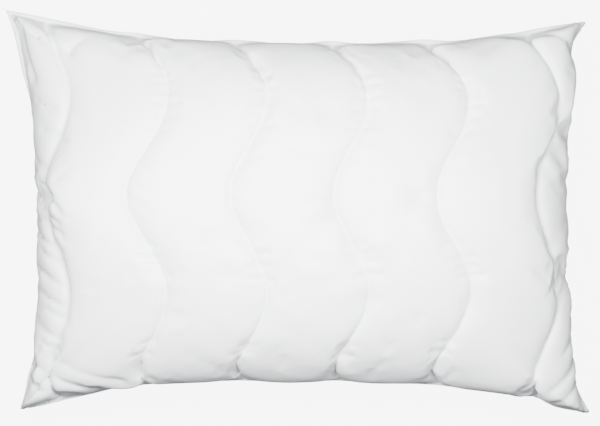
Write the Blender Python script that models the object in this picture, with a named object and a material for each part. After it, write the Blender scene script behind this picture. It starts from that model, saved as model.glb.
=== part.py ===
"""Quilted bed pillow lying flat: two quilted panels, fibre fill, threads and a care label.

Metres, +Z up. X is the long side, Y the short side. The origin is on the table, under the pillow's middle.
"""

import math

import bpy
import bmesh
from mathutils import Vector

# Overall size, ear tip to ear tip, and thickness
LENGTH = 0.666
WIDTH = 0.465
THICKNESS = 0.165

# Where the seam lies, and how far the table presses the back panel up
SEAM_HEIGHT = 0.070
TABLE_PRESS = 0.018

# How far each ear tip is drawn in from the overall box, along X and Y
EAR_INSET = {
    "front_left": (0.0125, 0.0045),
    "front_right": (0.0, 0.0),
    "back_left": (0.0, 0.0),
    "back_right": (0.0035, 0.0105),
}

# How far the middle of each edge is drawn in from the straight line between its ears
LEFT_PULL = 0.027
RIGHT_PULL = 0.020
FRONT_PULL = 0.035
BACK_PULL = 0.030
PULL_POWER = 3.0

# Cross-sections: a higher power keeps the top flat for longer before it turns down to the seam
ALONG_POWER = 5.0
ACROSS_POWER = 2.4
ROUNDNESS = 0.5

# Flat edge outside the seam
FLANGE_WIDTH = 0.005

# Quilting: lines of one wave, evenly spaced, running from the front edge to the back edge.
# The margins are from the middle of each side seam to the middle of the nearest line.
QUILT_LINES = 6
LEFT_MARGIN = 0.024
RIGHT_MARGIN = 0.030
WAVE_LENGTH = 0.217
WAVE_CREST = 0.134
WAVE_SWING = 0.019
OUTER_WAVE_SWING = 0.0125
GROOVE_HALF_WIDTH = 0.012
GROOVE_DEPTH = 0.004
TABLE_GROOVE_DEPTH = 0.003

# Layers
COVER_THICKNESS = 0.0005
WADDING_THICKNESS = 0.006
STITCHED_WADDING = 0.0018
LINING_THICKNESS = 0.0004
LAYER_GAP = 0.0003

# Threads and label
QUILT_THREAD_RADIUS = 0.0004
EDGE_THREAD_RADIUS = 0.0004
CLOSING_THREAD_RADIUS = 0.0003
THREAD_GAP = 0.0004
CLOSING_TOP = 0.035
CLOSING_LENGTH = 0.130
LABEL_WIDTH = 0.030
LABEL_DROP = 0.025
LABEL_THICKNESS = 0.0004
LABEL_CHANNEL = 4

# How far out on the flange each thing sits, as a share of its width
EDGE_THREAD_SHARE = 0.5
CLOSING_SHARE = 0.8
LABEL_SHARE = 0.8

# Grid density
SIDE_STRIPS = 3
ROWS = 16
EVEN_SHARE = 0.65
SETTLE_ROUNDS = 6

# Grid steps in from the flange's outer edge, to the seam and to the first points inside it
FLANGE_STEP = 1
FIRST_INNER = 2

# The faces of the layers, from the outside in
COVER_OUTSIDE, COVER_INSIDE = 0, 1
WADDING_OUTSIDE, WADDING_INSIDE = 2, 3
LINING_OUTSIDE, LINING_INSIDE = 4, 5
FILL_OUTSIDE = 6


def clear_scene():
    for found in list(bpy.data.objects):
        bpy.data.objects.remove(found, do_unlink=True)


def blend(a, b, share):
    return a + (b - a) * share


def seam_corner(name):
    """The seam's corner, inside the flange, in plan."""
    inset_x, inset_y = EAR_INSET[name]
    side_x = -1 if name.endswith("left") else 1
    side_y = -1 if name.startswith("front") else 1
    x = LENGTH / 2 - inset_x - FLANGE_WIDTH
    y = WIDTH / 2 - inset_y - FLANGE_WIDTH
    return side_x * x, side_y * y


def seam_left(t):
    start, end = seam_corner("front_left")[0], seam_corner("back_left")[0]
    return blend(start, end, (t + 1) / 2) + LEFT_PULL * (1 - abs(t) ** PULL_POWER)


def seam_right(t):
    start, end = seam_corner("front_right")[0], seam_corner("back_right")[0]
    return blend(start, end, (t + 1) / 2) - RIGHT_PULL * (1 - abs(t) ** PULL_POWER)


def seam_front(s):
    start, end = seam_corner("front_left")[1], seam_corner("front_right")[1]
    return blend(start, end, (s + 1) / 2) + FRONT_PULL * (1 - abs(s) ** PULL_POWER)


def seam_back(s):
    start, end = seam_corner("back_left")[1], seam_corner("back_right")[1]
    return blend(start, end, (s + 1) / 2) - BACK_PULL * (1 - abs(s) ** PULL_POWER)


def row_share(row):
    """How far along the width a row lies, -1 to 1: the rows are closer together near the seam."""
    even = 2 * row / ROWS - 1
    return EVEN_SHARE * even + (1 - EVEN_SHARE) * math.sin(even * math.pi / 2)


def quilt_x(line, y):
    """Where a quilting line, counted from 1 at the left, runs at one depth."""
    swing = OUTER_WAVE_SWING if line in (1, QUILT_LINES) else WAVE_SWING
    first = seam_left(0) + LEFT_MARGIN
    last = seam_right(0) - RIGHT_MARGIN
    middle = blend(first, last, (line - 1) / (QUILT_LINES - 1))
    return middle + swing * math.cos(2 * math.pi * (y - WAVE_CREST) / WAVE_LENGTH)


def columns():
    """The grid's columns from left to right, each as (station, share of the way on, offset in X).

    Station 0 is the left seam, 1 to QUILT_LINES are the quilting lines, and the last is the right seam.
    """
    found = [(0, step / SIDE_STRIPS, 0.0) for step in range(SIDE_STRIPS)]
    for line in range(1, QUILT_LINES):
        found.append((line, 0.0, 0.0))
        found.append((line, 0.0, GROOVE_HALF_WIDTH))
        found.append((line + 1, 0.0, -GROOVE_HALF_WIDTH))
    found += [(QUILT_LINES, step / SIDE_STRIPS, 0.0) for step in range(SIDE_STRIPS)]
    found.append((QUILT_LINES + 1, 0.0, 0.0))
    return found


COLUMNS = columns()
LAST_COLUMN = len(COLUMNS) - 1 + 2 * FLANGE_STEP
LAST_ROW = ROWS + 2 * FLANGE_STEP


def station_x(station, y, t):
    if station == 0:
        return seam_left(t)
    if station == QUILT_LINES + 1:
        return seam_right(t)
    return quilt_x(station, y)


def plan(column, row):
    """A grid point in plan, with its shares of the way along X and Y, -1 to 1.

    The place in X depends on Y and the other way round, so a few rounds settle both.
    """
    inner_row = min(max(row - FLANGE_STEP, 0), ROWS)
    inner_column = min(max(column - FLANGE_STEP, 0), len(COLUMNS) - 1)
    t = row_share(inner_row)
    station, share, offset = COLUMNS[inner_column]
    s = 2 * inner_column / (len(COLUMNS) - 1) - 1
    for _ in range(SETTLE_ROUNDS):
        y = blend(seam_front(s), seam_back(s), (t + 1) / 2)
        x = station_x(station, y, t) + offset
        if share:
            x = blend(x, station_x(station + 1, y, t), share)
        s = 2 * (x - seam_left(t)) / (seam_right(t) - seam_left(t)) - 1
    x += FLANGE_WIDTH * ((column > inner_column + FLANGE_STEP) - (column < FLANGE_STEP))
    y += FLANGE_WIDTH * ((row > inner_row + FLANGE_STEP) - (row < FLANGE_STEP))
    return x, y, s, t


def on_flange(column, row):
    inside_columns = FIRST_INNER <= column <= LAST_COLUMN - FIRST_INNER
    inside_rows = FIRST_INNER <= row <= LAST_ROW - FIRST_INNER
    return not (inside_columns and inside_rows)


def is_quilt_column(column):
    inner = column - FLANGE_STEP
    if not 0 <= inner < len(COLUMNS):
        return False
    station, share, offset = COLUMNS[inner]
    return 1 <= station <= QUILT_LINES and share == 0 and offset == 0


def bulge(s, t):
    """0 at the seam, 1 in the middle of the panel."""
    along = max(0.0, 1 - abs(s) ** ALONG_POWER)
    across = max(0.0, 1 - abs(t) ** ACROSS_POWER)
    return (along * across) ** ROUNDNESS


def front_point(column, row):
    """The outer face of the front cover."""
    x, y, s, t = plan(column, row)
    if on_flange(column, row):
        return Vector((x, y, SEAM_HEIGHT + LAYER_GAP / 2 + COVER_THICKNESS))
    swell = bulge(s, t)
    height = SEAM_HEIGHT + (THICKNESS - SEAM_HEIGHT) * swell
    if is_quilt_column(column):
        height -= GROOVE_DEPTH * swell
    return Vector((x, y, height))


def back_point(column, row):
    """The outer face of the back cover: it is flat where it lies on the table."""
    x, y, s, t = plan(column, row)
    if on_flange(column, row):
        return Vector((x, y, SEAM_HEIGHT - LAYER_GAP / 2 - COVER_THICKNESS))
    swell = bulge(s, t)
    height = max(0.0, SEAM_HEIGHT - (SEAM_HEIGHT + TABLE_PRESS) * swell)
    if is_quilt_column(column):
        height += TABLE_GROOVE_DEPTH * swell
    return Vector((x, y, height))


def inward(surface, column, row):
    """The way from the outer face to the inside of the pillow."""
    up = -1 if surface is front_point else 1
    if on_flange(column, row):
        return Vector((0, 0, up))
    across = surface(column + 1, row) - surface(column - 1, row)
    along = surface(column, row + 1) - surface(column, row - 1)
    return across.cross(along).normalized() * up


def layer_depth(column, layer):
    """How deep one face of the layers lies under the outside of the cover."""
    wadding = STITCHED_WADDING if is_quilt_column(column) else WADDING_THICKNESS
    steps = [0.0, COVER_THICKNESS, LAYER_GAP, wadding, LAYER_GAP, LINING_THICKNESS, LAYER_GAP]
    return sum(steps[: layer + 1])


def face(surface, layer):
    """A function that gives the points of one face of one layer."""

    def point(column, row):
        return surface(column, row) + inward(surface, column, row) * layer_depth(column, layer)

    return point


def material(name, color, roughness):
    made = bpy.data.materials.new(name)
    made.use_nodes = True
    shader = made.node_tree.nodes["Principled BSDF"]
    shader.inputs["Base Color"].default_value = (*color, 1.0)
    shader.inputs["Roughness"].default_value = roughness
    shader.inputs["Metallic"].default_value = 0.0
    made.diffuse_color = (*color, 1.0)
    return made


def add_object(name, data, made):
    added = bpy.data.objects.new(name, data)
    bpy.context.scene.collection.objects.link(added)
    data.materials.append(made)
    return added


def grid_face(mesh, place, low, high):
    """One face of a layer as a grid of quads between two grid corners."""
    across, along = high[0] - low[0], high[1] - low[1]
    made = bmesh.ops.create_grid(mesh, x_segments=across, y_segments=along, size=1.0)
    for vertex in made["verts"]:
        column = low[0] + round((vertex.co.x + 1) / 2 * across)
        row = low[1] + round((vertex.co.y + 1) / 2 * along)
        vertex.co = place(column, row)
    return made["verts"]


def border_edges(points):
    found = {edge for point in points for edge in point.link_edges}
    return [edge for edge in found if len(edge.link_faces) == 1]


def add_layer(name, top, bottom, margin, made):
    """A closed body between two faces over the same grid, margin steps inside the flange's outer edge."""
    low = (margin, margin)
    high = (LAST_COLUMN - margin, LAST_ROW - margin)
    mesh = bmesh.new()
    upper = grid_face(mesh, top, low, high)
    lower = grid_face(mesh, bottom, low, high)
    edges = border_edges(upper) + border_edges(lower)
    bmesh.ops.bridge_loops(mesh, edges=edges)
    bmesh.ops.recalc_face_normals(mesh, faces=mesh.faces)
    bmesh.ops.triangulate(mesh, faces=mesh.faces, quad_method="FIXED")
    data = bpy.data.meshes.new(name)
    mesh.to_mesh(data)
    mesh.free()
    data.shade_smooth()
    return add_object(name, data, made)


def add_thread(name, points, radius, made, closed=False):
    """A thread along a line of points."""
    data = bpy.data.curves.new(name, "CURVE")
    data.dimensions = "3D"
    data.bevel_depth = radius
    data.bevel_resolution = 0
    data.use_fill_caps = not closed
    spline = data.splines.new("POLY")
    spline.points.add(len(points) - 1)
    for spot, point in zip(spline.points, points):
        spot.co = (*point, 1.0)
    spline.use_cyclic_u = closed
    return add_object(name, data, made)


def thread_line(surface, column):
    """The line of a quilting thread, just outside the cover, from seam to seam."""
    lift = QUILT_THREAD_RADIUS + THREAD_GAP
    rows = range(FIRST_INNER, LAST_ROW - FIRST_INNER + 1)
    return [surface(column, row) - inward(surface, column, row) * lift for row in rows]


def flange_loop(share, height):
    """A closed line round the flange, a share of its width out from the seam."""
    first, last_column, last_row = FLANGE_STEP, LAST_COLUMN - FLANGE_STEP, LAST_ROW - FLANGE_STEP
    seam = [(column, first) for column in range(first, last_column)]
    seam += [(last_column, row) for row in range(first, last_row)]
    seam += [(column, last_row) for column in range(last_column, first, -1)]
    seam += [(first, row) for row in range(last_row, first, -1)]
    points = []
    for column, row in seam:
        x, y = plan(column, row)[:2]
        x += share * FLANGE_WIDTH * ((column == last_column) - (column == first))
        y += share * FLANGE_WIDTH * ((row == last_row) - (row == first))
        points.append(Vector((x, y, height)))
    return points


def add_quilt_threads(made):
    lines = [column for column in range(LAST_COLUMN) if is_quilt_column(column)]
    for number, column in enumerate(lines, start=1):
        front = thread_line(front_point, column)
        back = thread_line(back_point, column)
        add_thread(f"front_quilt_thread_{number}", front, QUILT_THREAD_RADIUS, made)
        add_thread(f"back_quilt_thread_{number}", back, QUILT_THREAD_RADIUS, made)


def add_edge_threads(made):
    rise = LAYER_GAP / 2 + COVER_THICKNESS + THREAD_GAP + EDGE_THREAD_RADIUS
    front = flange_loop(EDGE_THREAD_SHARE, SEAM_HEIGHT + rise)
    back = flange_loop(EDGE_THREAD_SHARE, SEAM_HEIGHT - rise)
    add_thread("front_edge_thread", front, EDGE_THREAD_RADIUS, made, closed=True)
    add_thread("back_edge_thread", back, EDGE_THREAD_RADIUS, made, closed=True)


def add_closing_thread(made):
    """The stitching that closes the filling slit, on the left flange outside the edge thread."""
    rise = LAYER_GAP / 2 + COVER_THICKNESS + THREAD_GAP + CLOSING_THREAD_RADIUS
    out = Vector((-FLANGE_WIDTH * CLOSING_SHARE, 0, SEAM_HEIGHT + rise))
    rows = range(FLANGE_STEP, LAST_ROW)
    line = [Vector((*plan(FLANGE_STEP, row)[:2], 0)) + out for row in rows]
    points = []
    for start, end in zip(line, line[1:]):
        low = max(start.y, CLOSING_TOP - CLOSING_LENGTH)
        high = min(end.y, CLOSING_TOP)
        if low < high:
            first = start.lerp(end, (low - start.y) / (end.y - start.y))
            last = start.lerp(end, (high - start.y) / (end.y - start.y))
            points += [last] if points else [first, last]
    add_thread("closing_thread", points, CLOSING_THREAD_RADIUS, made)


def add_label(made):
    """The care label: a strip of tape that hangs from the underside of the flange at the front edge."""
    lines = [column for column in range(LAST_COLUMN) if is_quilt_column(column)]
    column = lines[LABEL_CHANNEL - 1] + 1
    start = Vector(plan(column, FLANGE_STEP)[:2])
    end = Vector(plan(column + 1, FLANGE_STEP)[:2])
    along = (end - start).normalized()
    middle = (start + end) / 2 - Vector((0, FLANGE_WIDTH * LABEL_SHARE))
    top = SEAM_HEIGHT - LAYER_GAP / 2 - COVER_THICKNESS - LAYER_GAP
    mesh = bmesh.new()
    bmesh.ops.create_cube(mesh, size=1.0)
    for vertex in mesh.verts:
        across = vertex.co.x * LABEL_WIDTH
        through = vertex.co.y * LABEL_THICKNESS
        spot = middle + along * across + Vector((-along.y, along.x)) * through
        vertex.co = (spot.x, spot.y, top + (vertex.co.z - 0.5) * LABEL_DROP)
    data = bpy.data.meshes.new("care_label")
    mesh.to_mesh(data)
    mesh.free()
    add_object("care_label", data, made)


def add_panels():
    cover = material("cover", (0.86, 0.865, 0.875), 0.55)
    wadding = material("wadding", (0.93, 0.93, 0.92), 0.95)
    lining = material("lining", (0.88, 0.88, 0.87), 0.85)
    layers = [
        ("cover", COVER_OUTSIDE, COVER_INSIDE, 0, cover),
        ("wadding", WADDING_OUTSIDE, WADDING_INSIDE, FIRST_INNER, wadding),
        ("lining", LINING_OUTSIDE, LINING_INSIDE, FIRST_INNER, lining),
    ]
    for name, outside, inside, margin, made in layers:
        add_layer(f"front_{name}", face(front_point, outside), face(front_point, inside), margin, made)
        add_layer(f"back_{name}", face(back_point, inside), face(back_point, outside), margin, made)


def add_fill():
    fill = material("fibre_fill", (0.95, 0.95, 0.94), 1.0)
    top = face(front_point, FILL_OUTSIDE)
    bottom = face(back_point, FILL_OUTSIDE)
    add_layer("fibre_fill", top, bottom, FIRST_INNER, fill)


def build():
    clear_scene()
    add_panels()
    add_fill()
    thread = material("thread", (0.88, 0.885, 0.895), 0.4)
    add_quilt_threads(thread)
    add_edge_threads(thread)
    add_closing_thread(thread)
    add_label(material("label", (0.9, 0.9, 0.9), 0.5))


build()
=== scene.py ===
import math

import bmesh
import bpy
import numpy as np
from mathutils import Matrix, Vector, noise


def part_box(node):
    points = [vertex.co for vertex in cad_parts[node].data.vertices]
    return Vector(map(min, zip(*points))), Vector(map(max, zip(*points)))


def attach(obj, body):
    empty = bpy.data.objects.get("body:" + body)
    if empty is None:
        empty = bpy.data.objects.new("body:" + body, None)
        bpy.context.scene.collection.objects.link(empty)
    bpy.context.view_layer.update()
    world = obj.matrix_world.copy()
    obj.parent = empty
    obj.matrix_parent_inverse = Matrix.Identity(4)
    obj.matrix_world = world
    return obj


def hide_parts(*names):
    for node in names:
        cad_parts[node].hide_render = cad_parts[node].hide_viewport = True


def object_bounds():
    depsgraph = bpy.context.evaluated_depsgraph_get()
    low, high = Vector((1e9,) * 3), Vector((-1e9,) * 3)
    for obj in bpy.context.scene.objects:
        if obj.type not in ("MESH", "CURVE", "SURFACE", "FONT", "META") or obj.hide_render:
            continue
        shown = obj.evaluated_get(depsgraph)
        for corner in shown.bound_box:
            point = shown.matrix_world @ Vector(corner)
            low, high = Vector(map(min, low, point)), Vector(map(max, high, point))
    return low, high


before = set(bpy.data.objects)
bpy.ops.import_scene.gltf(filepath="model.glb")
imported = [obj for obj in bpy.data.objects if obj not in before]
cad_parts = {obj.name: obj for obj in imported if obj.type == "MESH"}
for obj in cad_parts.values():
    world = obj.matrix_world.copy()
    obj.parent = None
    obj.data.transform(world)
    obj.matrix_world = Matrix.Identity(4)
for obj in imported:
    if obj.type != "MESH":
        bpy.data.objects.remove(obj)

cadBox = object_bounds()
cadLow, cadHigh = Vector(cadBox[0]), Vector(cadBox[1])
cadSize = cadHigh - cadLow
seamHeight = (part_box("front_edge_thread")[0][2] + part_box("back_edge_thread")[1][2]) / 2
frontSide, backSide = 0, 1
touching, tiny = 0.00001, 1e-12

# The cut bag, before it is filled. Each cell is split for the quilting.
bag = {
    "length": 1.012 * cadSize.x,
    "width": 1.0204 * cadSize.y,
    "split": 2,
    "rows": 84,
    "channelCells": 22,
    "marginCells": 9,
    "crowding": 0.4,
    "startSwell": 0.010,
    "unevenness": 0.004,
    "unevenScale": 30.0,
}

# Both cloth runs use these
clothRun = {"quality": 5, "airDamping": 1.0, "pinStiffness": 1.0}

# Filling: the cloth is blown up for a set number of frames
filling = {
    "frames": 20,
    "pressure": 4.0,
    "mass": 0.15,
    "stiffness": 15.0,
    "shear": 5.0,
    "bending": 0.5,
    "damping": 5.0,
}

# Quilting: lines of one wave, in the flat cloth's own measures
quilt = {
    "lines": 6,
    "gap": 0.1118,
    "middle": 0.0022,
    "period": 0.218,
    "crest": 0.129,
    "swing": 0.0182,
    "outerSwing": 0.0155,
    "depth": 0.006,
    "groove": 0.010,
    "crease": 0.0020,
    "creaseWidth": 0.0026,
    "endCrease": 0.0075,
    "endPower": 4,
    "rounding": 0.5,
    "seamFade": 0.010,
    "strokeFade": 0.8,
    "onLine": 0.0005,
}

# Settling: the cloth beside the stitching is let out a little and settles again
puckering = {
    "frames": 6,
    "pressure": 3.0,
    "mass": 0.05,
    "stiffness": 15.0,
    "shear": 5.0,
    "bending": 2.0,
    "damping": 5.0,
    "slack": -0.001,
    "lineSlack": -0.02,
    "reach": 0.012,
    "seamShare": 0.4,
    "seamReach": 0.02,
}


def makeObject(name, mesh, material):
    data = bpy.data.meshes.new(name)
    mesh.to_mesh(data)
    mesh.free()
    data.shade_smooth()
    data.materials.append(material)
    made = bpy.data.objects.new(name, data)
    bpy.context.scene.collection.objects.link(made)
    return made


def readPoints(data):
    points = np.empty(len(data.vertices) * 3, np.float32)
    data.vertices.foreach_get("co", points)
    return points.reshape(-1, 3).astype(float)


def writePoints(data, points):
    data.vertices.foreach_set("co", points.astype(np.float32).ravel())
    data.update()


def readNormals(data):
    normals = np.empty(len(data.vertices) * 3, np.float32)
    data.vertices.foreach_get("normal", normals)
    return normals.reshape(-1, 3).astype(float)


# Each vertex keeps its place in the flat cloth as a UV, so the stitching can be found after the filling
def readFlat(data):
    flat = np.zeros((len(data.vertices), 2))
    corners = np.empty(len(data.loops), np.int32)
    data.loops.foreach_get("vertex_index", corners)
    places = np.empty(len(data.loops) * 2, np.float32)
    data.uv_layers["flat"].data.foreach_get("uv", places)
    flat[corners] = places.reshape(-1, 2)
    return flat


# How far each place is from the two short ends and from the two long sides
def edgeDistances(flat):
    return bag["length"] / 2 - np.abs(flat[:, 0]), bag["width"] / 2 - np.abs(flat[:, 1])


def seamDistance(flat):
    return np.minimum(*edgeDistances(flat))


# The share of a depth that is left near the seam, so that the seam itself stays where it is
def seamFade(flat):
    return np.clip(seamDistance(flat) / quilt["seamFade"], 0, 1)


# One at no distance, and close to nothing at twice the reach
def bell(distance, reach):
    return np.exp(-((distance / reach) ** 2))


def lineMiddle(number):
    return quilt["middle"] + (number - (quilt["lines"] - 1) / 2) * quilt["gap"]


# Each column of cells follows the wave, less and less past the outer lines, and is straight at the seam
def waveX(place, y):
    first, last, half = lineMiddle(0), lineMiddle(quilt["lines"] - 1), bag["length"] / 2
    knots = (-half, first, first + quilt["gap"], last - quilt["gap"], last, half)
    swings = (0, quilt["outerSwing"], quilt["swing"], quilt["swing"], quilt["outerSwing"], 0)
    swing = np.interp(place, knots, swings)
    return place + swing * np.cos(2 * math.pi * (y - quilt["crest"]) / quilt["period"])


def lineDistance(flat):
    x, y = flat[:, 0], flat[:, 1]
    lines = [np.abs(x - waveX(lineMiddle(number), y)) for number in range(quilt["lines"])]
    return np.min(lines, axis=0)


# Columns crowd together beside the stitching, where the cloth bends most
def columnPlaces():
    half, cells = bag["length"] / 2, bag["channelCells"]
    shares = np.arange(cells) / cells
    shares = shares - bag["crowding"] * np.sin(2 * math.pi * shares) / (2 * math.pi)
    places = list(np.linspace(-half, lineMiddle(0), bag["marginCells"] + 1)[:-1])
    for number in range(quilt["lines"] - 1):
        places += list(lineMiddle(number) + shares * quilt["gap"])
    return places + list(np.linspace(lineMiddle(quilt["lines"] - 1), half, bag["marginCells"] + 1))


# The column of the finished grid that a quilting line runs on
def lineColumn(number):
    return bag["split"] * (bag["marginCells"] + number * bag["channelCells"])


# The (column, row) of a vertex in a grid of size 1
def gridPlace(vertex, across, along):
    return round((vertex.co.x + 0.5) * across), round((vertex.co.y + 0.5) * along)


# Two flat panels, joined round their edges, with a little air between them
def makeBag():
    places = columnPlaces()
    across, along = len(places) - 1, bag["rows"]
    mesh = bmesh.new()
    flatLayer = mesh.loops.layers.uv.new("flat")
    columnLayer = mesh.verts.layers.float.new("column")
    rowLayer = mesh.verts.layers.float.new("row")
    for side in (frontSide, backSide):
        up = 1 if side == frontSide else -1
        made = bmesh.ops.create_grid(mesh, x_segments=across, y_segments=along, size=0.5)["verts"]
        faces = {face for vertex in made for face in vertex.link_faces}
        for face in faces:
            face.material_index = side
        for vertex in made:
            column, row = gridPlace(vertex, across, along)
            y = (row / along - 0.5) * bag["width"]
            x = float(waveX(places[column], y))
            room = (1 - (2 * x / bag["length"]) ** 2) * (1 - (2 * y / bag["width"]) ** 2)
            uneven = noise.noise(Vector((x, y, up)) * bag["unevenScale"])
            swell = bag["startSwell"] + bag["unevenness"] * uneven
            vertex.co = (x, y, up * swell * math.sqrt(max(0.0, room)))
            vertex[columnLayer] = column
            vertex[rowLayer] = row
            for corner in vertex.link_loops:
                corner[flatLayer].uv = (x, y)
        if side == backSide:
            bmesh.ops.reverse_faces(mesh, faces=list(faces))
    rims = [vertex for vertex in mesh.verts if vertex.is_boundary]
    bmesh.ops.remove_doubles(mesh, verts=rims, dist=touching)
    data = bpy.data.meshes.new("bag")
    mesh.to_mesh(data)
    mesh.free()
    made = bpy.data.objects.new("bag", data)
    bpy.context.scene.collection.objects.link(made)
    return made


# The column or row of each vertex, counted in parts of a cell
def readCells(data, name, split):
    values = np.empty(len(data.vertices), np.float32)
    data.attributes[name].data.foreach_get("value", values)
    return np.round(values * split).astype(int)


# The vertex in each place of the two grids, front and back, once each cell is split in so many
def gridOf(data, split):
    column, row = readCells(data, "column", split), readCells(data, "row", split)
    corners = np.empty(len(data.loops), np.int32)
    data.loops.foreach_get("vertex_index", corners)
    sides = np.empty(len(data.polygons), np.int32)
    data.polygons.foreach_get("material_index", sides)
    grid = np.zeros((2, column.max() + 1, row.max() + 1), int)
    for side in (frontSide, backSide):
        mine = np.unique(corners.reshape(-1, 4)[sides == side])
        grid[side, column[mine], row[mine]] = mine
    return grid


def smoothAlong(grid, axis, rounds):
    size = grid.shape[axis]
    for _ in range(rounds):
        padded = np.concatenate([grid.take([0], axis), grid, grid.take([-1], axis)], axis)
        before, after = padded.take(range(size), axis), padded.take(range(2, size + 2), axis)
        grid = (before + 2 * grid + after) / 4
    return grid


def runCloth(piece, run, holdGroup=None, slackGroup=None):
    modifier = piece.modifiers.new("filling", "CLOTH")
    cloth = modifier.settings
    cloth.quality = clothRun["quality"]
    cloth.mass = run["mass"]
    cloth.air_damping = clothRun["airDamping"]
    cloth.tension_stiffness = cloth.compression_stiffness = run["stiffness"]
    cloth.shear_stiffness = run["shear"]
    cloth.bending_stiffness = run["bending"]
    cloth.tension_damping = cloth.compression_damping = cloth.shear_damping = run["damping"]
    cloth.use_pressure = True
    cloth.uniform_pressure_force = run["pressure"]
    cloth.effector_weights.gravity = 0.0
    if holdGroup:
        cloth.vertex_group_mass = holdGroup
        cloth.pin_stiffness = clothRun["pinStiffness"]
    if slackGroup:
        cloth.vertex_group_shrink = slackGroup
        cloth.shrink_min = run["slack"]
        cloth.shrink_max = run["lineSlack"]
    modifier.collision_settings.use_collision = False
    modifier.point_cache.frame_start = 1
    modifier.point_cache.frame_end = run["frames"]
    for step in range(1, run["frames"] + 1):
        bpy.context.scene.frame_set(step)
    with bpy.context.temp_override(object=piece, active_object=piece):
        bpy.ops.object.modifier_apply(modifier=modifier.name)
    bpy.context.scene.frame_set(1)


# The filled bag is eased to the frame's outline, and its back is pressed on the table
settling = {
    "cornerShare": 0.05,
    "onRim": 0.001,
    "easePower": 3.0,
    "evening": 8,
    "threadInset": 0.0025,
    "rightInset": 0.0045,
    "insetFade": 0.3,
    "overhang": {"left": 0.003, "right": 0.0065, "near": 0.003, "far": 0.0015},
    "overhangReach": 0.014,
    "overhangPower": 6,
    "tableSoftness": 0.003,
    "backStretch": 1.11,
    "frontRoom": 0.0015,
    "domeAcross": 0.22,
    "domeAlong": 0.50,
    "domePower": 2.2,
    "edgePower": 8.0,
    "cornerPlump": 1.5,
    "plumpPower": 3.0,
    "calmRounds": 12,
    "calmReach": 0.045,
    "calmStart": 0.04,
    "calmSpan": 0.06,
}


# The frame's own outline in plan, read from the edge thread, one side at a time
def frameSide(axis, sign):
    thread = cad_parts["front_edge_thread"].data
    ring = np.array([vertex.co for vertex in thread.vertices], float)
    other = 1 - axis
    half = (cadSize.x / 2, cadSize.y / 2)
    across = np.abs(ring[:, other]) / half[other]
    mine = sign * ring[:, axis] / half[axis] > across - settling["cornerShare"]
    order = np.argsort(ring[mine, other])
    return ring[mine, other][order], ring[mine, axis][order]


# Evens out a run of values over a few cells and keeps the value at each end
def evenOut(values, reach):
    before = 2 * values[0] - values[reach:0:-1]
    after = 2 * values[-1] - values[-2:-reach - 2:-1]
    window = np.hanning(2 * reach + 3)[1:-1]
    return np.convolve(np.concatenate([before, values, after]), window / window.sum(), "valid")


# Buckles along the two long seams are smoothed away, because the filling keeps those edges full
def calmLongEdges(points, flat, grid):
    toEnds, toSides = edgeDistances(flat)
    inward = np.clip((toEnds - settling["calmStart"]) / settling["calmSpan"], 0, 1)
    weight = bell(toSides, settling["calmReach"]) * inward
    for side in (frontSide, backSide):
        calm = smoothAlong(points[grid[side]], 0, settling["calmRounds"])
        share = weight[grid[side]][:, :, None]
        points[grid[side]] = points[grid[side]] * (1 - share) + calm * share
    return points


# The bag's four sides, as (name, axis, sign)
bagSides = (("left", 0, -1), ("right", 0, 1), ("near", 1, -1), ("far", 1, 1))


# How far each vertex moves in plan so that the seam comes to the frame's outline
def outlineMoves(points, shares):
    moves = np.zeros_like(points)
    for name, axis, sign in bagSides:
        other = 1 - axis
        places, outline = frameSide(axis, sign)
        rim = np.flatnonzero(np.abs(sign * shares[:, axis] - 1) < settling["onRim"])
        rim = rim[np.argsort(shares[rim, other])]
        spread = np.interp(shares[rim, other], (-1, 1), (places[0], places[-1]))
        target = np.interp(spread, places, outline) - sign * settling["threadInset"]
        if name == "right":
            fade = np.clip((1 - np.abs(shares[rim, other])) / settling["insetFade"], 0, 1)
            target -= settling["rightInset"] * fade
        fit = evenOut(target - points[rim, axis], settling["evening"])
        weight = ((1 + sign * shares[:, axis]) / 2) ** settling["easePower"]
        moves[:, axis] += np.interp(shares[:, other], shares[rim, other], fit) * weight
    return moves


def settleBag(piece):
    flat = readFlat(piece.data)
    points = calmLongEdges(readPoints(piece.data), flat, gridOf(piece.data, 1))
    halves = bag["length"] / 2, bag["width"] / 2
    shares = flat / halves
    points += outlineMoves(points, shares)
    for name, axis, sign in bagSides:
        inside = (halves[axis] - sign * flat[:, axis]) / settling["overhangReach"]
        fade = 1 - np.abs(shares[:, 1 - axis]) ** settling["overhangPower"]
        points[:, axis] += sign * settling["overhang"][name] * fade * inside * np.exp(1 - inside)
    fall = np.abs(shares) ** settling["domePower"] * (1 - np.abs(shares) ** settling["edgePower"])
    points[:, 2] *= (1 - settling["domeAcross"] * fall[:, 0]) * (1 - settling["domeAlong"] * fall[:, 1])
    cornerShare = np.abs(shares[:, 0] * shares[:, 1]) ** settling["plumpPower"]
    points[:, 2] *= 1 + settling["cornerPlump"] * cornerShare
    up = points[:, 2] > 0
    room = cadHigh.z - seamHeight - settling["frontRoom"]
    points[up, 2] *= room / points[:, 2].max()
    hang = seamHeight + points[~up, 2] * settling["backStretch"]
    soft = settling["tableSoftness"]
    points[~up, 2] = (hang + np.sqrt(hang ** 2 + 4 * soft ** 2)) / 2 - seamHeight
    points[:, 2] += seamHeight
    writePoints(piece.data, points)


# Weights go in by tenths, because one call for each level is quick
def paintGroup(piece, name, weights):
    group = piece.vertex_groups.new(name=name)
    rounded = np.round(weights, 1)
    for level in np.unique(rounded[rounded > 0]):
        group.add([int(index) for index in np.flatnonzero(rounded == level)], float(level), "REPLACE")
    return name


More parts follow.
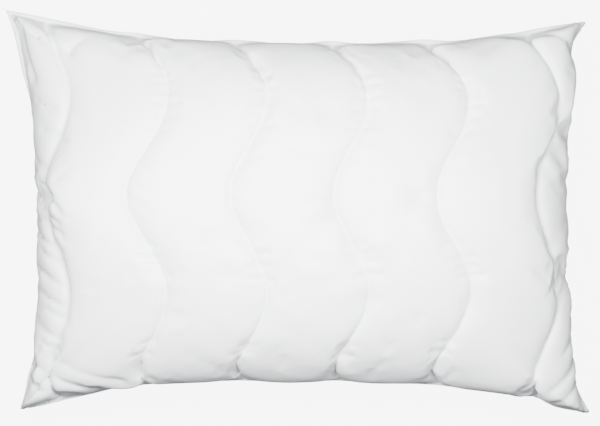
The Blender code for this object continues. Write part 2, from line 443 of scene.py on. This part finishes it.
# Folds of the front's four corners: depth, width, and a few points of the flat cloth to follow
folds = (
    (0.0055, 0.007, ((-0.335, -0.166), (-0.298, -0.185), (-0.254, -0.209), (-0.222, -0.228))),
    (0.0040, 0.006, ((-0.334, -0.196), (-0.306, -0.209), (-0.268, -0.224))),
    (0.0026, 0.006, ((-0.306, -0.158), (-0.262, -0.178), (-0.205, -0.200))),
    (0.0075, 0.007, ((-0.330, 0.228), (-0.300, 0.206), (-0.266, 0.186))),
    (0.0060, 0.006, ((-0.331, 0.214), (-0.318, 0.180), (-0.312, 0.158))),
    (0.0040, 0.006, ((-0.270, 0.186), (-0.252, 0.202))),
    (0.0045, 0.006, ((0.334, 0.186), (0.316, 0.210), (0.286, 0.223), (0.262, 0.226))),
    (0.0045, 0.006, ((0.334, -0.162), (0.312, -0.184), (0.290, -0.200))),
    (0.0035, 0.005, ((0.333, -0.194), (0.310, -0.211), (0.296, -0.222))),
    (0.0030, 0.005, ((0.326, -0.140), (0.304, -0.160))),
)

# Short wrinkles that cross the left quilting line, as (y, start from the seam, length)
wrinkles = {
    "places": (
        (0.132, 0.030, 0.026), (0.098, 0.042, 0.034), (0.064, 0.026, 0.024), (0.036, 0.034, 0.040),
        (0.022, 0.046, 0.030), (0.006, 0.030, 0.044), (-0.010, 0.040, 0.036), (-0.028, 0.028, 0.040),
        (-0.046, 0.036, 0.030), (-0.066, 0.026, 0.038), (-0.094, 0.034, 0.032), (-0.112, 0.044, 0.026),
        (-0.132, 0.028, 0.034), (-0.150, 0.036, 0.026),
    ),
    "tilt": -0.42,
    "depth": 0.0034,
    "width": 0.0036,
}

# Short puckers that cross the stitching where the cloth is gathered, as (y, half length)
puckers = {
    "lines": (1, 2, 3, 4),
    "places": (
        (0.156, 0.007), (0.143, 0.012), (0.131, 0.010), (0.120, 0.013), (0.108, 0.009), (0.095, 0.011),
        (-0.034, 0.009), (-0.047, 0.013), (-0.058, 0.010), (-0.071, 0.012),
        (-0.150, 0.009), (-0.163, 0.011),
    ),
    "shift": 0.0035,
    "shiftTurns": (2.3, 90.0),
    "drift": 0.004,
    "driftTurns": (1.7, 60.0),
    "tilt": 0.18,
    "tiltTurns": (1.0, 40.0),
    "depth": 0.0024,
    "width": 0.0026,
}


def strokeDistance(flat, stroke):
    nearest = np.full(len(flat), np.inf)
    for start, end in zip(np.array(stroke[:-1]), np.array(stroke[1:])):
        along = end - start
        share = np.clip((flat - start) @ along / (along @ along), 0, 1)
        nearest = np.minimum(nearest, np.linalg.norm(flat - start - share[:, None] * along, axis=1))
    return nearest


def strokeDepth(flat, strokes):
    total = np.zeros(len(flat))
    for depth, width, stroke in strokes:
        total += depth * np.exp(-strokeDistance(flat, stroke) / width)
    return total


# An uneven share from -1 to 1 that changes from line to line and along each line
def unevenShare(line, y, turns):
    return math.sin(line * turns[0] + y * turns[1])


def fineStrokes():
    strokes = []
    for y, start, length in wrinkles["places"]:
        x = -bag["length"] / 2 + start
        stroke = ((x, y), (x + length, y + length * wrinkles["tilt"]))
        strokes.append((wrinkles["depth"], wrinkles["width"], stroke))
    for line in puckers["lines"]:
        for y, half in puckers["places"]:
            y += puckers["shift"] * unevenShare(line, y, puckers["shiftTurns"])
            x = float(waveX(lineMiddle(line), y))
            x += puckers["drift"] * unevenShare(line, y, puckers["driftTurns"])
            rise = half * puckers["tilt"] * unevenShare(line, y, puckers["tiltTurns"])
            stroke = ((x - half, y - rise), (x + half, y + rise))
            strokes.append((puckers["depth"], puckers["width"], stroke))
    return strokes


def sinkFront(piece, flat, depth):
    depth = depth * seamFade(flat)
    depth[gridOf(piece.data, bag["split"])[backSide]] = 0
    writePoints(piece.data, readPoints(piece.data) - readNormals(piece.data) * depth[:, None])


# The cloth is sunk along the stitching, which is then held while the cloth beside it settles
def quiltBag(piece):
    mesh = bmesh.new()
    mesh.from_mesh(piece.data)
    cut = {"cuts": bag["split"] - 1, "use_grid_fill": True, "smooth": quilt["rounding"]}
    bmesh.ops.subdivide_edges(mesh, edges=mesh.edges[:], **cut)
    mesh.to_mesh(piece.data)
    mesh.free()
    flat = readFlat(piece.data)
    toLine, toSeam, fade = lineDistance(flat), seamDistance(flat), seamFade(flat)
    groove = quilt["depth"] * np.exp(-toLine / quilt["groove"])
    towardsEnd = np.abs(2 * flat[:, 1] / bag["width"]) ** quilt["endPower"]
    crease = quilt["crease"] + quilt["endCrease"] * towardsEnd
    groove += crease * np.exp(-toLine / quilt["creaseWidth"])
    points = readPoints(piece.data) - readNormals(piece.data) * (groove * fade)[:, None]
    writePoints(piece.data, points)
    sinkFront(piece, flat, strokeDepth(flat, folds) * (1 - bell(toLine, quilt["groove"])))
    held = (toLine < quilt["onLine"]) | (toSeam < quilt["onLine"])
    besideLine = bell(toLine, puckering["reach"]) * fade
    besideSeam = puckering["seamShare"] * bell(toSeam, puckering["seamReach"])
    hold = paintGroup(piece, "held", held.astype(float))
    slack = paintGroup(piece, "slack", np.maximum(besideLine, besideSeam))
    runCloth(piece, puckering, hold, slack)
    awayFromLine = 1 - quilt["strokeFade"] * bell(toLine, quilt["creaseWidth"])
    sinkFront(piece, flat, strokeDepth(flat, fineStrokes()) * awayFromLine)
    points = readPoints(piece.data)
    points[:, 2] -= points[:, 2].min()
    writePoints(piece.data, points)


# Every vector of an array at length 1
def unit(vectors):
    return vectors / np.maximum(np.linalg.norm(vectors, axis=-1, keepdims=True), tiny)


# The filled cloth as two grids of points, front and back, one point to each vertex of the flat panels
class Panels:
    def __init__(self, piece):
        grid = gridOf(piece.data, bag["split"])
        self.across, self.along = grid.shape[1] - 1, grid.shape[2] - 1
        self.column = readCells(piece.data, "column", bag["split"])
        self.row = readCells(piece.data, "row", bag["split"])
        self.points = readPoints(piece.data)[grid]
        self.flat = readFlat(piece.data)[grid[frontSide]]
        across, along = np.gradient(self.points, axis=1), np.gradient(self.points, axis=2)
        self.normals = unit(np.cross(across, along))
        self.normals[backSide] *= -1

    # The seam's points in order, counterclockwise from the near left corner, as (column, row)
    def rim(self):
        found = [(column, 0) for column in range(self.across)]
        found += [(self.across, row) for row in range(self.along)]
        found += [(column, self.along) for column in range(self.across, 0, -1)]
        found += [(0, row) for row in range(self.along, 0, -1)]
        return found


# The flat edge outside the seam: each ring is (share of the width, lift off its middle). Round the
# middle of the right end it hangs down, out of sight from above.
flange = {
    "width": 0.0048,
    "seamLift": 0.0003,
    "rings": ((0.22, 0.0008), (0.5, 0.0004), (0.8, 0.0008), (1.0, 0.00015)),
    "stitchShare": 0.5,
    "stitchLift": 0.0005,
    "smoothing": 15,
    "cornerReach": 1.25,
    "droop": 0.15,
    "rightDroop": 0.9,
    "rightSpan": (0.12, 0.88),
}


class Flange:
    def __init__(self, panels):
        spots = panels.rim()
        last = panels.across, panels.along
        self.index = {spot: number for number, spot in enumerate(spots)}
        self.seam = np.array([panels.points[frontSide][spot] for spot in spots])
        outward = self.findOutward(panels, spots, last)
        tangent = np.roll(self.seam, -1, axis=0) - np.roll(self.seam, 1, axis=0)
        self.upward = unit(np.cross(outward, tangent))
        self.upward[self.upward[:, 2] < 0] *= -1
        corners = [self.index[spot] for spot in ((0, 0), (last[0], 0), last, (0, last[1]))]
        reach = np.ones(len(spots))
        reach[corners] = flange["cornerReach"]
        self.outward = outward * reach[:, None]
        steps = [((c == last[0]) - (c == 0), (r == last[1]) - (r == 0)) for c, r in spots]
        self.flatOut = np.array(steps, float)

    # Away from the middle of the pillow's edge at each spot, a little down, and even along the seam
    def findOutward(self, panels, spots, last):
        outward = []
        for column, row in spots:
            inside = (min(max(column, 1), last[0] - 1), min(max(row, 1), last[1] - 1))
            middle = (panels.points[frontSide][inside] + panels.points[backSide][inside]) / 2
            outward.append(panels.points[frontSide][column, row] - middle)
        outward = unit(np.array(outward))
        low, high = flange["rightSpan"]
        atRight = np.array([column == last[0] and low < row / last[1] < high for column, row in spots])
        outward[:, 2] -= np.where(atRight, flange["rightDroop"], flange["droop"])
        count = flange["smoothing"]
        return unit(sum(np.roll(outward, step, axis=0) for step in range(-count, count + 1)))

    def ring(self, share, lift):
        return self.seam + self.outward * flange["width"] * share + self.upward * lift


cover = {"thickness": 0.0004}


# Extrudes the flange from a cover's rim ring by ring. The places in the flat cloth go on past the seam.
def growFlange(mesh, edge, up):
    ringLayer = mesh.verts.layers.int.new("ring")
    spotLayer = mesh.verts.layers.int["spot"]
    places = mesh.loops.layers.uv["flat"]
    seamPlaces = {}
    for vertex in mesh.verts:
        if vertex[spotLayer] >= 0:
            seamPlaces[vertex[spotLayer]] = vertex.link_loops[0][places].uv.copy()
    rim = [border for border in mesh.edges if border.is_boundary]
    for number, (share, lift) in enumerate(flange["rings"], start=1):
        grown = bmesh.ops.extrude_edge_only(mesh, edges=rim)["geom"]
        ring = edge.ring(share, up * lift)
        for vertex in (part for part in grown if isinstance(part, bmesh.types.BMVert)):
            vertex.co = ring[vertex[spotLayer]]
            vertex[ringLayer] = number
        for face in (part for part in grown if isinstance(part, bmesh.types.BMFace)):
            for corner in face.loops:
                spot, inRing = corner.vert[spotLayer], corner.vert[ringLayer]
                reach = flange["rings"][inRing - 1][0] if inRing else 0
                out = Vector(edge.flatOut[spot]) * flange["width"] * reach
                corner[places].uv = seamPlaces[spot] + out
        borders = [part for part in grown if isinstance(part, bmesh.types.BMEdge)]
        rim = [border for border in borders if border.is_boundary]


# A cover: one side of the filled bag with its half of the flange
def makeCover(name, piece, panels, edge, side, material):
    mesh = bmesh.new()
    mesh.from_mesh(piece.data)
    spotLayer = mesh.verts.layers.int.new("spot")
    for number, vertex in enumerate(mesh.verts):
        spot = int(panels.column[number]), int(panels.row[number])
        vertex[spotLayer] = edge.index.get(spot, -1)
    others = [face for face in mesh.faces if face.material_index != side]
    bmesh.ops.delete(mesh, geom=others, context="FACES")
    up = 1 if side == frontSide else -1
    for vertex in mesh.verts:
        if vertex[spotLayer] >= 0:
            vertex.co += Vector(edge.upward[vertex[spotLayer]]) * up * flange["seamLift"]
    growFlange(mesh, edge, up)
    for face in mesh.faces:
        face.material_index = 0
    bmesh.ops.recalc_face_normals(mesh, faces=mesh.faces)
    middle = max(mesh.faces, key=lambda face: up * face.calc_center_median().z)
    if middle.normal.z * up < 0:
        bmesh.ops.reverse_faces(mesh, faces=mesh.faces)
    made = makeObject(name, mesh, material)
    wall = made.modifiers.new("cloth", "SOLIDIFY")
    wall.thickness = cover["thickness"]
    wall.offset = -1.0
    return made


# Inner layers: closed bodies between two depths under the cloth, stopping short of the seam
inner = {
    "step": 2,
    "margin": 10,
    "waddingTop": 0.0012,
    "waddingBottom": 0.0062,
    "liningTop": 0.0066,
    "liningBottom": 0.0070,
    "fillTop": 0.0076,
    "smoothing": 6,
}


def smoothGrid(grid, rounds):
    return smoothAlong(smoothAlong(grid, 0, rounds), 1, rounds)


def depthGrid(panels, side, depth):
    step, margin = inner["step"], inner["margin"]
    points = panels.points[side][margin:-margin:step, margin:-margin:step]
    normals = panels.normals[side][margin:-margin:step, margin:-margin:step]
    normals = unit(smoothGrid(normals, inner["smoothing"]))
    rounds = inner["smoothing"] if depth > inner["waddingTop"] else 0
    return smoothGrid(points, rounds) - normals * depth


# A closed layer between two grids of points
def makeLayer(name, top, bottom, material):
    across, along = top.shape[0] - 1, top.shape[1] - 1
    mesh = bmesh.new()
    for grid in (top, bottom):
        made = bmesh.ops.create_grid(mesh, x_segments=across, y_segments=along, size=0.5)["verts"]
        for vertex in made:
            vertex.co = grid[gridPlace(vertex, across, along)]
    rims = [border for border in mesh.edges if border.is_boundary]
    bmesh.ops.bridge_loops(mesh, edges=rims)
    bmesh.ops.recalc_face_normals(mesh, faces=mesh.faces)
    return makeObject(name, mesh, material)


stitching = {
    "pitch": 0.0033,
    "length": 0.0029,
    "radius": 0.00032,
    "sides": 6,
    "rings": 4,
    "lift": -0.0001,
    "endRows": 2,
    "batch": 25,
}


# Where each stitch of a line goes, as a matrix for a ball of radius 1
def stitchPlaces(line, radius):
    line = [Vector(point) for point in line]
    lengths = [0.0]
    for start, end in zip(line, line[1:]):
        lengths.append(lengths[-1] + (end - start).length)
    steps = np.linspace(0, lengths[-1], int(lengths[-1] / stitching["pitch"]) + 1)
    spots = zip(*(np.interp(steps, lengths, [point[axis] for point in line]) for axis in range(3)))
    spots = [Vector(spot) for spot in spots]
    places = []
    for start, end in zip(spots, spots[1:]):
        along = end - start
        turn = along.to_track_quat("Z", "Y").to_matrix().to_4x4()
        half = along.length / 2 * stitching["length"] / stitching["pitch"]
        size = Matrix.Diagonal((radius, radius, half, 1.0))
        places.append(Matrix.Translation((start + end) / 2) @ turn @ size)
    return places


# Grain-shaped stitches along each line, made in batches because a large mesh is slow to add to
def makeStitches(name, lines, material, radius=stitching["radius"]):
    places = [place for line in lines for place in stitchPlaces(line, radius)]
    ball = {"u_segments": stitching["sides"], "v_segments": stitching["rings"], "radius": 1.0}
    mesh = bmesh.new()
    for first in range(0, len(places), stitching["batch"]):
        batch = bmesh.new()
        for place in places[first:first + stitching["batch"]]:
            bmesh.ops.create_uvsphere(batch, matrix=place, **ball)
        data = bpy.data.meshes.new("batch")
        batch.to_mesh(data)
        batch.free()
        mesh.from_mesh(data)
        bpy.data.meshes.remove(data)
    return makeObject(name, mesh, material)


def quiltLine(panels, side, number):
    column = lineColumn(number)
    lifted = panels.points[side, column] + panels.normals[side, column] * stitching["lift"]
    return lifted[stitching["endRows"]:-stitching["endRows"]]


# The edge stitching, once round the flange on one side of it
def edgeLine(edge, side):
    lift = flange["stitchLift"] * (1 if side == frontSide else -1)
    ring = edge.ring(flange["stitchShare"], lift)
    return np.concatenate([ring, ring[:1]])


# The closing stitches lie outside the edge stitching, on the left end only
closing = {"from": -0.095, "to": 0.035, "share": 0.85, "lift": 0.0008, "radius": 0.00026}


def closingLine(edge):
    ring = edge.ring(closing["share"], closing["lift"])
    left = [spot for spot, number in edge.index.items() if spot[0] == 0]
    rows = [edge.index[spot] for spot in sorted(left)]
    return [ring[row] for row in rows if closing["from"] < ring[row][1] < closing["to"]]


# The cut end of the edge thread, which stands out a little at the far left corner
tail = {"length": 0.009, "rise": 0.002, "points": 5}


def threadTail(edge):
    corner = edge.index[0, max(row for column, row in edge.index)]
    start = Vector(edge.ring(flange["stitchShare"], flange["stitchLift"])[corner])
    away = Vector(edge.outward[corner]).normalized() * tail["length"]
    shares = [number / (tail["points"] - 1) for number in range(tail["points"])]
    return [start + away * share + Vector((0, 0, tail["rise"] * share ** 2)) for share in shares]


label = {
    "width": 0.030,
    "drop": 0.025,
    "thickness": 0.0003,
    "tuck": 0.010,
    "columns": 14,
    "rows": 16,
    "share": 0.6,
    "lift": -0.0012,
    "straightCells": 3,
    "ripple": 0.0008,
    "rippleTurns": (190.0, 2.0),
}


# A strip of tape that hangs from the flange and curls in under the pillow
def makeLabel(name, edge, material):
    low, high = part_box("care_label")
    middle = (low[0] + high[0]) / 2
    front = [number for (column, row), number in edge.index.items() if row == 0]
    start = min(front, key=lambda number: abs(edge.seam[number][0] - middle))
    hung = Vector(edge.ring(label["share"], label["lift"])[start])
    cells = label["straightCells"]
    along = Vector(edge.seam[start + cells] - edge.seam[start - cells]).normalized()
    mesh = bmesh.new()
    made = bmesh.ops.create_grid(mesh, x_segments=label["columns"], y_segments=label["rows"], size=0.5)
    for vertex in made["verts"]:
        across, down = vertex.co.x * label["width"], 0.5 - vertex.co.y
        curl = math.sin(down * math.pi / 2)
        turns = label["rippleTurns"]
        ripple = label["ripple"] * math.sin(across * turns[0] + turns[1] * down) * down
        inward = label["tuck"] * (1 - math.cos(down * math.pi / 2)) + ripple
        vertex.co = hung + along * across + Vector((0, inward, -label["drop"] * curl))
    bmesh.ops.solidify(mesh, geom=mesh.faces[:], thickness=label["thickness"])
    bmesh.ops.recalc_face_normals(mesh, faces=mesh.faces)
    return makeObject(name, mesh, material)


# A shader node with the given settings and input values
def addNode(tree, kind, **values):
    node = tree.nodes.new(kind)
    for name, value in values.items():
        if hasattr(node, name):
            setattr(node, name, value)
        else:
            node.inputs[name].default_value = value
    return node


def addRamp(tree, colours, positions):
    ramp = addNode(tree, "ShaderNodeValToRGB")
    for stop, colour, position in zip(ramp.color_ramp.elements, colours, positions):
        stop.position = position
        stop.color = (*colour, 1.0)
    return ramp


sheenRoughness, specular = 0.45, 0.5


def newMaterial(name, colour, roughness, sheen=0.0):
    material = bpy.data.materials.new(name)
    material.use_nodes = True
    shader = material.node_tree.nodes["Principled BSDF"]
    shader.inputs["Base Color"].default_value = (*colour, 1.0)
    shader.inputs["Roughness"].default_value = roughness
    shader.inputs["Sheen Weight"].default_value = sheen
    shader.inputs["Sheen Roughness"].default_value = sheenRoughness
    shader.inputs["Specular IOR Level"].default_value = specular
    material.diffuse_color = (*colour, 1.0)
    return material, shader


# Band length is what one band of a wave texture measures at scale 1. Slubs are the uneven threads.
weave = {
    "thread": 0.00045,
    "bandLength": 0.31416,
    "distortion": 0.6,
    "slub": 260.0,
    "slubStretch": (0.25, 1.0, 1.0),
    "slubHeight": 0.5,
    "slubTone": 0.25,
    "tone": 9.0,
    "toneStops": (0.35, 0.85),
    "bumpHeight": 0.00006,
    "bump": 0.35,
    "glossSpread": 0.06,
}


# Fine plain weave: two sets of bands that cross, with uneven threads and a faint change of tone
def clothMaterial(name, colour, darker, roughness, sheen):
    material, shader = newMaterial(name, colour, roughness, sheen)
    tree = material.node_tree
    link = tree.links.new
    place = addNode(tree, "ShaderNodeUVMap", uv_map="flat")
    bands = []
    for direction in ("X", "Y"):
        band = addNode(tree, "ShaderNodeTexWave", bands_direction=direction, Detail=1.0)
        band.inputs["Scale"].default_value = weave["bandLength"] / weave["thread"]
        band.inputs["Distortion"].default_value = weave["distortion"]
        link(place.outputs["UV"], band.inputs["Vector"])
        bands.append(band)
    crossed = addNode(tree, "ShaderNodeMath", operation="MULTIPLY")
    link(bands[0].outputs["Fac"], crossed.inputs[0])
    link(bands[1].outputs["Fac"], crossed.inputs[1])
    stretch = addNode(tree, "ShaderNodeMapping", vector_type="POINT")
    stretch.inputs["Scale"].default_value = weave["slubStretch"]
    link(place.outputs["UV"], stretch.inputs["Vector"])
    slub = addNode(tree, "ShaderNodeTexNoise", Scale=weave["slub"], Detail=4.0, Roughness=0.6)
    link(stretch.outputs["Vector"], slub.inputs["Vector"])
    height = addNode(tree, "ShaderNodeMath", operation="MULTIPLY_ADD")
    height.inputs[1].default_value = weave["slubHeight"]
    link(slub.outputs["Fac"], height.inputs[0])
    link(crossed.outputs["Value"], height.inputs[2])
    bump = addNode(tree, "ShaderNodeBump", Strength=weave["bump"], Distance=weave["bumpHeight"])
    link(height.outputs["Value"], bump.inputs["Height"])
    link(bump.outputs["Normal"], shader.inputs["Normal"])
    tone = addNode(tree, "ShaderNodeTexNoise", Scale=weave["tone"], Detail=5.0, Roughness=0.55)
    link(place.outputs["UV"], tone.inputs["Vector"])
    mixed = addNode(tree, "ShaderNodeMath", operation="MULTIPLY_ADD")
    mixed.inputs[1].default_value = weave["slubTone"]
    link(slub.outputs["Fac"], mixed.inputs[0])
    link(tone.outputs["Fac"], mixed.inputs[2])
    ramp = addRamp(tree, (darker, colour), weave["toneStops"])
    link(mixed.outputs["Value"], ramp.inputs["Fac"])
    link(ramp.outputs["Color"], shader.inputs["Base Color"])
    gloss = addNode(tree, "ShaderNodeMapRange")
    gloss.inputs["To Min"].default_value = roughness - weave["glossSpread"]
    gloss.inputs["To Max"].default_value = roughness + weave["glossSpread"]
    link(tone.outputs["Fac"], gloss.inputs["Value"])
    link(gloss.outputs["Result"], shader.inputs["Roughness"])
    return material


fibre = {"detail": 6.0, "streaks": 0.7, "distortion": 1.5, "toneStops": (0.3, 0.7), "bump": 0.5}


# Spun or carded fibre: fine streaky noise
def fibreMaterial(name, colour, darker, roughness, scale, bumpHeight):
    material, shader = newMaterial(name, colour, roughness)
    tree = material.node_tree
    link = tree.links.new
    place = addNode(tree, "ShaderNodeTexCoord")
    streak = addNode(tree, "ShaderNodeTexNoise", Scale=scale, Detail=fibre["detail"])
    streak.inputs["Roughness"].default_value = fibre["streaks"]
    streak.inputs["Distortion"].default_value = fibre["distortion"]
    link(place.outputs["Object"], streak.inputs["Vector"])
    ramp = addRamp(tree, (darker, colour), fibre["toneStops"])
    link(streak.outputs["Fac"], ramp.inputs["Fac"])
    link(ramp.outputs["Color"], shader.inputs["Base Color"])
    bump = addNode(tree, "ShaderNodeBump", Strength=fibre["bump"], Distance=bumpHeight)
    link(streak.outputs["Fac"], bump.inputs["Height"])
    link(bump.outputs["Normal"], shader.inputs["Normal"])
    return material


# The floor is bright by itself and sends no light up into the cloth
floorLook = {
    "size": 150.0,
    "below": 0.0005,
    "colour": (0.12, 0.12, 0.12),
    "roughness": 0.9,
    "glow": 7.6,
}


def makeFloor():
    mesh = bmesh.new()
    bmesh.ops.create_grid(mesh, x_segments=1, y_segments=1, size=floorLook["size"])
    bmesh.ops.translate(mesh, verts=mesh.verts, vec=(0, 0, cadLow.z - floorLook["below"]))
    material, shader = newMaterial("floorPale", floorLook["colour"], floorLook["roughness"])
    shader.inputs["Emission Color"].default_value = (1.0, 1.0, 1.0, 1.0)
    shader.inputs["Emission Strength"].default_value = floorLook["glow"]
    shader.inputs["Specular IOR Level"].default_value = 0.0
    made = makeObject("floor", mesh, material)
    made.visible_diffuse = made.visible_glossy = False


lights = (
    {"name": "keySoft", "at": (-0.26, 0.36, 1.05), "size": (0.35, 0.35), "power": 19.0},
    {"name": "topSoft", "at": (0.0, 0.03, 0.68), "size": (0.80, 0.20), "power": 21.0},
)
world = {"colour": (0.90, 0.95, 1.0), "strength": 0.32}


def makeLights():
    for settings in lights:
        data = bpy.data.lights.new(settings["name"], "AREA")
        data.shape = "RECTANGLE"
        data.size, data.size_y = settings["size"]
        data.energy = settings["power"]
        made = bpy.data.objects.new(settings["name"], data)
        made.location = settings["at"]
        made.rotation_euler = (-Vector(settings["at"])).to_track_quat("-Z", "Y").to_euler()
        made.visible_camera = False
        bpy.context.scene.collection.objects.link(made)
    made = bpy.data.worlds.new("studio")
    made.use_nodes = True
    background = made.node_tree.nodes["Background"]
    background.inputs["Color"].default_value = (*world["colour"], 1.0)
    background.inputs["Strength"].default_value = world["strength"]
    bpy.context.scene.world = made


# The camera looks straight down, and the view is so far across at the height of the seam
view = {"height": 2.6, "across": 0.684, "shiftX": 0.0023, "sensor": 36.0}


def makeCamera():
    data = bpy.data.cameras.new("camera")
    data.sensor_width = view["sensor"]
    data.lens = view["sensor"] * (view["height"] - seamHeight) / view["across"]
    made = bpy.data.objects.new("camera", data)
    made.location = (view["shiftX"], 0, view["height"])
    bpy.context.scene.collection.objects.link(made)
    bpy.context.scene.camera = made


# Puts a piece on the pillow's one body, in place of the CAD nodes that it stands for
def finishPiece(piece, slotName, *nodes):
    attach(piece, "root")
    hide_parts(*nodes)


makeCamera()
makeLights()
makeFloor()

coverCloth = clothMaterial(
    "coverCloth",
    colour=(0.885, 0.895, 0.91),
    darker=(0.835, 0.845, 0.865),
    roughness=0.42,
    sheen=0.08,
)
liningCloth = clothMaterial(
    "liningCloth",
    colour=(0.88, 0.88, 0.87),
    darker=(0.82, 0.82, 0.81),
    roughness=0.85,
    sheen=0.0,
)
waddingFibre = fibreMaterial(
    "waddingFibre",
    colour=(0.94, 0.94, 0.93),
    darker=(0.85, 0.85, 0.84),
    roughness=0.95,
    scale=900.0,
    bumpHeight=0.0006,
)
fillFibre = fibreMaterial(
    "fillFibre",
    colour=(0.96, 0.96, 0.95),
    darker=(0.84, 0.84, 0.83),
    roughness=1.0,
    scale=350.0,
    bumpHeight=0.0015,
)
# White thread painted a darker grey: painted shade that stands in for the shadow in the stitch holes
# and creases along the stitching
threadWithPaintedShade = fibreMaterial(
    "threadWithPaintedShade",
    colour=(0.70, 0.71, 0.735),
    darker=(0.60, 0.61, 0.63),
    roughness=0.6,
    scale=2500.0,
    bumpHeight=0.00005,
)
labelSatin = fibreMaterial(
    "labelSatin",
    colour=(0.91, 0.91, 0.90),
    darker=(0.87, 0.87, 0.86),
    roughness=0.4,
    scale=1500.0,
    bumpHeight=0.00003,
)

filled = makeBag()
print("bag cut:", len(filled.data.vertices), "points")
runCloth(filled, filling)
print("bag filled")
settleBag(filled)
quiltBag(filled)
print("bag quilted")

panels = Panels(filled)
edge = Flange(panels)
layers = (
    ("Wadding", "wadding", "waddingTop", "waddingBottom", waddingFibre),
    ("Lining", "lining", "liningTop", "liningBottom", liningCloth),
)
for side, sideName in ((frontSide, "front"), (backSide, "back")):
    cloth = makeCover(f"{sideName}Cover", filled, panels, edge, side, coverCloth)
    finishPiece(cloth, "cover", f"{sideName}_cover")
    for title, slotName, outside, inside, material in layers:
        faces = [depthGrid(panels, side, inner[outside]), depthGrid(panels, side, inner[inside])]
        layer = makeLayer(f"{sideName}{title}", *faces, material)
        finishPiece(layer, slotName, f"{sideName}_{slotName}")
    for number in range(quilt["lines"]):
        line = quiltLine(panels, side, number)
        stitches = makeStitches(f"{sideName}QuiltThread{number + 1}", [line], threadWithPaintedShade)
        finishPiece(stitches, "thread", f"{sideName}_quilt_thread_{number + 1}")
    lines = [edgeLine(edge, side)]
    if side == frontSide:
        lines.append(threadTail(edge))
    stitches = makeStitches(f"{sideName}EdgeThread", lines, threadWithPaintedShade)
    finishPiece(stitches, "thread", f"{sideName}_edge_thread")
    print(sideName, "panel made")

fill = makeLayer(
    "fibreFill",
    depthGrid(panels, frontSide, inner["fillTop"]),
    depthGrid(panels, backSide, inner["fillTop"]),
    fillFibre,
)
finishPiece(fill, "fibre_fill", "fibre_fill")
closingStitches = makeStitches("closingThread", [closingLine(edge)], threadWithPaintedShade, closing["radius"])
finishPiece(closingStitches, "thread", "closing_thread")
finishPiece(makeLabel("careLabel", edge, labelSatin), "label", "care_label")
bpy.data.objects.remove(filled, do_unlink=True)
print("pillow made")
